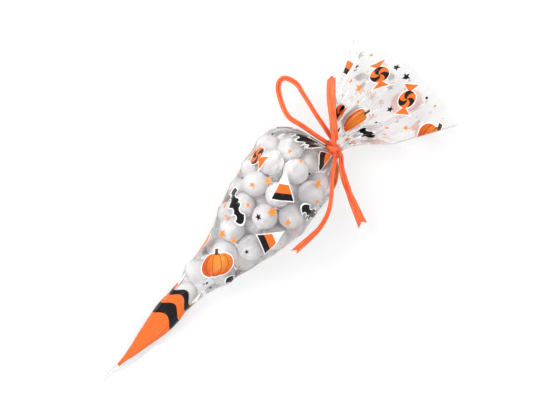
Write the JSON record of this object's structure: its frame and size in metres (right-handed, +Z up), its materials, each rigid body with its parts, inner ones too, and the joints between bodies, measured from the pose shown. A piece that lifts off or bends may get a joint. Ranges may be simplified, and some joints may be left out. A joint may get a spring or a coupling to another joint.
{
  "type": "cone bag",
  "caption": "Clear printed film cone bag filled with round pale sweets, gathered and tied with an orange raffia ribbon bow, lying on its side.",
  "frame": {"origin": "middle of the flat patch of film that the filled bag rests on", "axes": "+X from the closed tip towards the open mouth, +Z up, +Y to the left as seen from the tip"},
  "size_m": [0.302, 0.1091, 0.0569],
  "materials": {
    "film": "clear glossy film with opaque orange, white and black print",
    "sweets": "dry sugar shell",
    "ribbon": "satin raffia with lengthwise streaks"
  },
  "bodies": {
    "root": {"film_bag": "film", "sweet_01": "sweets", "sweet_02": "sweets", "sweet_03": "sweets", "sweet_04": "sweets", "sweet_05": "sweets", "sweet_06": "sweets", "sweet_07": "sweets", "sweet_08": "sweets", "sweet_09": "sweets", "sweet_10": "sweets", "sweet_11": "sweets", "sweet_12": "sweets", "sweet_13": "sweets", "sweet_14": "sweets", "sweet_15": "sweets", "sweet_16": "sweets", "sweet_17": "sweets", "sweet_18": "sweets", "sweet_19": "sweets", "sweet_20": "sweets", "sweet_21": "sweets", "sweet_22": "sweets", "sweet_23": "sweets", "sweet_24": "sweets", "sweet_25": "sweets", "sweet_26": "sweets", "sweet_27": "sweets", "sweet_28": "sweets", "sweet_29": "sweets", "sweet_30": "sweets", "sweet_31": "sweets", "sweet_32": "sweets", "sweet_33": "sweets", "sweet_34": "sweets", "sweet_35": "sweets", "sweet_36": "sweets", "sweet_37": "sweets", "sweet_38": "sweets", "sweet_39": "sweets", "ribbon_knot": "ribbon", "ribbon_loop_left": "ribbon", "ribbon_loop_mouth": "ribbon", "ribbon_tail_long": "ribbon", "ribbon_tail_short": "ribbon"}
  },
  "joints": []
}
